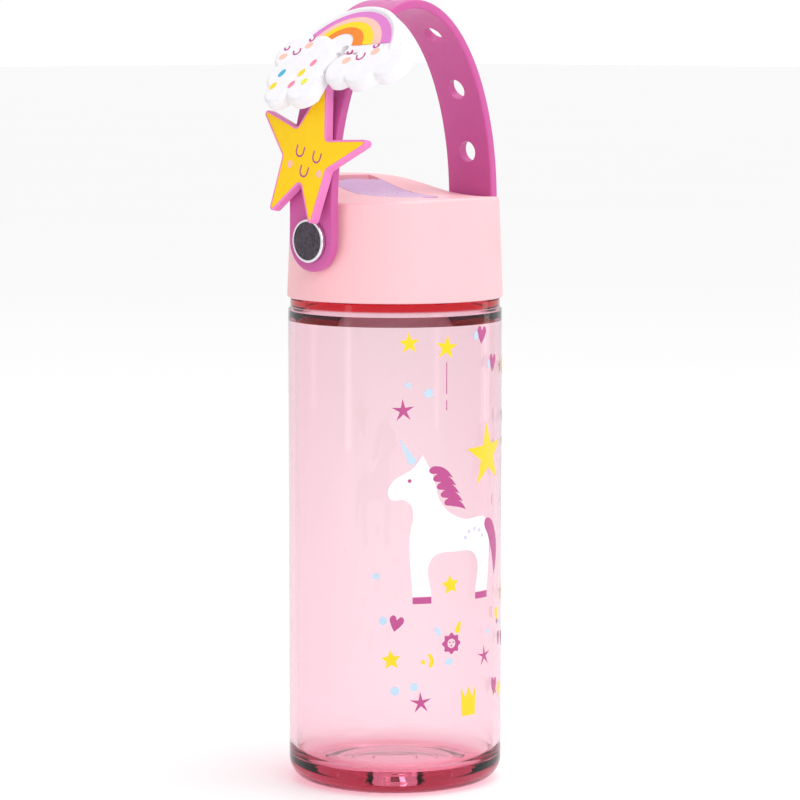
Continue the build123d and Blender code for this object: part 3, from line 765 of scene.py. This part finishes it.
class BOTTLE_OT_puff_clouds(bpy.types.Operator):
    """Models the rainbow charm's puffy white body with its rim, slit and stud"""
    bl_idname = "bottle.puff_clouds"
    bl_label = "Cloud Charm"

    def execute(self, context):
        settings = context.scene.bottle_charm
        plate_top = CHARM_GAP + PLATE
        cloud_top = plate_top + CLOUD_RISE - 0.08
        arc_u, arc_v, arc_radius = ARC
        rim_radius = arc_radius + settings.border / MM
        disc = puck(arc_u, arc_v, rim_radius, CHARM_GAP, plate_top - INLAY_SINK - 0.25, 0.0002, 96)
        keep_above(disc, RIM_LOW)
        rim = self.rim(arc_u, arc_v, rim_radius, settings.border / MM, plate_top)
        parts = [disc, rim]
        for u, v, radius in LOBES:
            parts.append(puck(u, v, radius, CHARM_GAP, cloud_top, settings.puff))
        neck, button, reach, thick = STUD
        parts.append(puck(0, 0, neck, -reach - 0.1, CHARM_GAP + 0.5, 0.0001))
        parts.append(puck(0, 0, button, -reach - thick, -reach, 0.0004))
        piece = join_pieces("rainbow_clouds", parts)
        apply_modifier(piece, "REMESH", mode="VOXEL", voxel_size=settings.voxel)
        apply_modifier(piece, "SMOOTH", factor=0.5, iterations=2)
        carve(piece, prism(SLIT, -0.5, cloud_top + 2))
        notch_u, notch_v, notch_radius = NOTCH
        carve(piece, puck(notch_u, notch_v, notch_radius, -0.5, cloud_top + 2, 0.0001, 24))
        piece.data.transform(charm_matrix("rainbow_spin"))
        smooth(piece, 40)
        finish = vinyl("charm_white", context.scene.bottle_finishes.cloud, 0.4)
        hand_over(piece, finish, "rainbow")
        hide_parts("rainbow_base")
        return {"FINISHED"}

    def rim(self, u, v, radius, half_width, top):
        """The white bead round the rainbow, flattened so that it stands on the plate."""
        bpy.ops.object.select_all(action="DESELECT")
        bpy.ops.mesh.primitive_torus_add(major_segments=144, minor_segments=20,
                                         major_radius=radius * MM, minor_radius=half_width * MM)
        piece = bpy.context.object
        stretch = (top + 0.25 - CHARM_GAP) / (2 * half_width)
        for vertex in piece.data.vertices:
            vertex.co.x += u * MM
            vertex.co.y += v * MM
            vertex.co.z = vertex.co.z * stretch + (top + 0.25 + CHARM_GAP) / 2 * MM
        keep_above(piece, RIM_LOW)
        return piece


class BOTTLE_OT_print_pony(bpy.types.Operator):
    """Prints the horned pony on the body, one film for each ink"""
    bl_idname = "bottle.print_pony"
    bl_label = "Pony"

    def execute(self, context):
        inks = context.scene.bottle_print
        plum = bpy.data.materials.get("ink_plum") or ink(
            "ink_plum", context.scene.bottle_finishes.plum)
        white = ink("ink_white", inks.coat)
        ice = ink("ink_ice", inks.ice)
        lilac = ink("ink_lilac", inks.lilac)
        print_picture("pony_coat", [[pony_coat()]], white)
        print_picture("pony_mane", pony_mane() + [pony_hooves()], plum, 1)
        print_picture("pony_stars", [rump_stars()], lilac, 1)
        horn = sharp_points(pony_point(-0.33, 0.93), pony_point(-0.28, 0.96),
                            pony_point(-0.4, 1.12))
        print_picture("pony_horn", [[horn]], ice, 2)
        eye = oval(*pony_point(-0.33, 0.83), 0.6)
        print_picture("pony_eye", [[eye]], plum, 2)
        return {"FINISHED"}


class BOTTLE_OT_print_motifs(bpy.types.Operator):
    """Prints the loose stars, hearts, flower, crown and dots on the body"""
    bl_idname = "bottle.print_motifs"
    bl_label = "Stars and Hearts"

    def execute(self, context):
        colours = context.scene.bottle_finishes
        inks = context.scene.bottle_print
        yellow = ink("ink_yellow", colours.sun)
        plum = bpy.data.materials.get("ink_plum") or ink("ink_plum", colours.plum)
        pale = ink("ink_pale", inks.ice)
        stars = [star(-23.0, 146.9, 3.5, 4), star(-10.3, 145.3, 4.1, -6, 0.38),
                 star(8.3, 109.5, 10.8, 4, 0.38), star(-8.8, 68.6, 3.3, 6, 0.5),
                 star(-28.8, 44.9, 3.3, 5, 0.48), star(-18.4, 44.0, 1.0, 0, 0.6),
                 star(25.5, 137.0, 3.4, 8), star(27.0, 62.0, 3.2, -8, 0.5),
                 star(31.5, 92.0, 2.6, 10, 0.45), star(19.0, 31.0, 3.0, 10, 0.48),
                 crown(-1.3, 25.2, 6.7, 9.6),
                 round_points((-7.0, 53.6), (-6.2, 55.2), (-5.2, 56.4), (-5.0, 54.2),
                              (-5.9, 52.6)),
                 round_points((-16.2, 42.2), (-15.0, 43.0), (-15.2, 45.6), (-16.6, 46.6),
                              (-16.0, 44.6)),
                 oval(15.6, 56.6, 1.4, 2.2, 10)]
        print_picture("stars_yellow", [stars], yellow)
        petals = [flower(-8.4, 49.5, 3.5), oval(-8.4, 49.5, 1.5)]
        hearts = [heart(4.8, 148.6, 4.6, 5.9, -6), heart(11.8, 139.1, 4.4, 5.9, -6),
                  heart(-27.2, 56.7, 4.6, 5.4, -14), heart(13.4, 33.0, 4.4, 5.6, -6),
                  heart(29.0, 120.0, 4.4, 5.4, 10), heart(24.0, 47.0, 4.2, 5.2, -10),
                  star(-24.9, 125.4, 3.9, 3, 0.3), star(6.5, 43.8, 3.6, 4, 0.26),
                  star(-19.2, 30.8, 3.8, 3, 0.28), star(30.5, 104.5, 2.8, 0, 0.3)]
        blossom = [oval(-8.4 + 0.75 * math.cos(a), 49.5 + 0.75 * math.sin(a), 0.28)
                   for a in (0.5, 2.6, 4.7)]
        thread = [block(-10.45, 130.4, -10.15, 140.6), block(-10.45, 125.2, -10.15, 128.4)]
        print_picture("hearts_plum", [hearts + thread, petals, blossom], plum)
        bits = [oval(1.9, 148.6, 1.0, 1.5), oval(9.0, 138.9, 0.9, 1.5), oval(-31.4, 57.6, 1.3, 1.4),
                star(-23.3, 133.6, 1.5), star(-16.6, 130.9, 1.9, 20, 0.6),
                oval(-33.6, 72.0, 1.2, 1.0, 20), oval(-21.4, 36.0, 1.3, 1.4),
                oval(-27.6, 34.8, 1.4, 1.5), oval(-9.4, 43.6, 1.5, 1.1), oval(8.6, 51.6, 1.0, 0.8),
                oval(-13.4, 53.8, 0.8, 1.6, 30), oval(27.6, 112.0, 1.2, 1.2),
                oval(21.8, 53.0, 1.0, 1.1)]
        print_picture("bits_blue", [bits], pale)
        return {"FINISHED"}


# ------------------------------------------------------------------ stage
class BOTTLE_OT_set_stage(bpy.types.Operator):
    """Sets the pale floor, the soft lights and the camera"""
    bl_idname = "bottle.set_stage"
    bl_label = "Studio"

    def execute(self, context):
        settings = context.scene.bottle_studio
        self.floor(settings)
        self.sky(context, settings)
        self.sun(settings)
        self.lights()
        self.camera(context, settings)
        context.scene.view_settings.view_transform = "Standard"
        return {"FINISHED"}

    def floor(self, settings):
        bpy.ops.object.select_all(action="DESELECT")
        bpy.ops.mesh.primitive_plane_add(size=30, location=(0, 0, body_low.z))
        piece = bpy.context.object
        piece.name = "floor"
        finish = Finish("pale_floor", settings.floor, 0.6)
        finish.mottle(finish.noise(0.4, 1.0), shaded(settings.floor, 0.99), 0.5)
        piece.data.materials.append(finish.material)

    def sky(self, context, settings):
        """White all round; what reaches matt surfaces is a little less, to keep their shading."""
        world = bpy.data.worlds.new("even_light")
        context.scene.world = world
        world.use_nodes = True
        sky = world.node_tree.nodes["Background"]
        sky.inputs["Color"].default_value = (1.0, 1.0, 1.0, 1.0)
        nodes, links = world.node_tree.nodes, world.node_tree.links
        ray = nodes.new("ShaderNodeLightPath")
        level = nodes.new("ShaderNodeMix")
        level.inputs["A"].default_value = settings.surround
        level.inputs["B"].default_value = settings.sky
        links.new(ray.outputs["Is Diffuse Ray"], level.inputs["Factor"])
        links.new(level.outputs["Result"], sky.inputs["Strength"])

    def lights(self):
        centre = Vector((0, 0, 0.13))
        self.softbox("key", (-0.5, -1.1, 0.75), centre, (0.8, 0.8), 6.5)
        self.softbox("top", (0.1, 0.1, 1.5), centre, (1.2, 1.2), 3.0)
        self.softbox("right_strip", (1.0, -0.35, 0.35), centre, (0.22, 1.0), 0.8)
        self.softbox("left_strip", (-0.9, 0.1, 0.35), centre, (0.12, 0.9), 0.6)

    def sun(self, settings):
        """A broad light from above that keeps the floor even."""
        bpy.ops.object.light_add(type="SUN", location=(0.3, -0.5, 2.0))
        lamp = bpy.context.object
        lamp.name = "ceiling"
        lamp.data.energy = settings.ceiling
        lamp.data.angle = math.radians(40)
        lamp.rotation_euler = Vector((-0.3, 0.5, -2.0)).to_track_quat("-Z", "Y").to_euler()

    def softbox(self, name, place, target, size, power):
        bpy.ops.object.light_add(type="AREA", location=place)
        lamp = bpy.context.object
        lamp.name = name
        lamp.data.shape = "RECTANGLE"
        lamp.data.size, lamp.data.size_y = size
        lamp.data.energy = power
        aim = target - Vector(place)
        lamp.rotation_euler = aim.to_track_quat("-Z", "Y").to_euler()

    def camera(self, context, settings):
        eye, target = Vector(settings.eye), Vector(settings.aim)
        bpy.ops.object.camera_add(location=eye)
        view = bpy.context.object
        view.rotation_euler = (target - eye).to_track_quat("-Z", "Y").to_euler()
        view.data.sensor_width = 36.0
        view.data.lens = settings.lens
        view.data.clip_start, view.data.clip_end = 0.05, 40.0
        context.scene.camera = view


class BOTTLE_PT_pieces(bpy.types.Panel):
    """Lists the steps that finish the bottle"""
    bl_label = "Kids' Water Bottle"
    bl_idname = "BOTTLE_PT_pieces"
    bl_space_type = "VIEW_3D"
    bl_region_type = "UI"
    bl_category = "Bottle"

    def draw(self, context):
        for operator in OPERATORS:
            self.layout.operator(operator.bl_idname)
        for group in SETTINGS:
            settings = getattr(context.scene, group)
            box = self.layout.box()
            for key in SETTINGS[group].__annotations__:
                box.prop(settings, key)


SETTINGS = {"bottle_finishes": BottleFinishes, "bottle_clear": BottleClear,
            "bottle_print": BottlePrint, "bottle_charm": BottleCharm,
            "bottle_studio": BottleStudio}
OPERATORS = [BOTTLE_OT_set_stage, BOTTLE_OT_dress_body, BOTTLE_OT_dress_lid,
             BOTTLE_OT_dress_spout, BOTTLE_OT_dress_strap, BOTTLE_OT_dress_charms,
             BOTTLE_OT_puff_clouds, BOTTLE_OT_print_pony, BOTTLE_OT_print_motifs]


def register():
    for made in (*SETTINGS.values(), *OPERATORS, BOTTLE_PT_pieces):
        bpy.utils.register_class(made)
    for name, group in SETTINGS.items():
        setattr(bpy.types.Scene, name, PointerProperty(type=group))


def unregister():
    for name in SETTINGS:
        delattr(bpy.types.Scene, name)
    for made in (BOTTLE_PT_pieces, *reversed(OPERATORS), *reversed(list(SETTINGS.values()))):
        bpy.utils.unregister_class(made)


def main():
    register()
    bpy.ops.bottle.set_stage()
    bpy.ops.bottle.dress_body()
    bpy.ops.bottle.dress_lid()
    bpy.ops.bottle.dress_spout()
    bpy.ops.bottle.dress_strap()
    bpy.ops.bottle.dress_charms()
    bpy.ops.bottle.puff_clouds()
    bpy.ops.bottle.print_pony()
    bpy.ops.bottle.print_motifs()


if __name__ == "__main__":
    main()
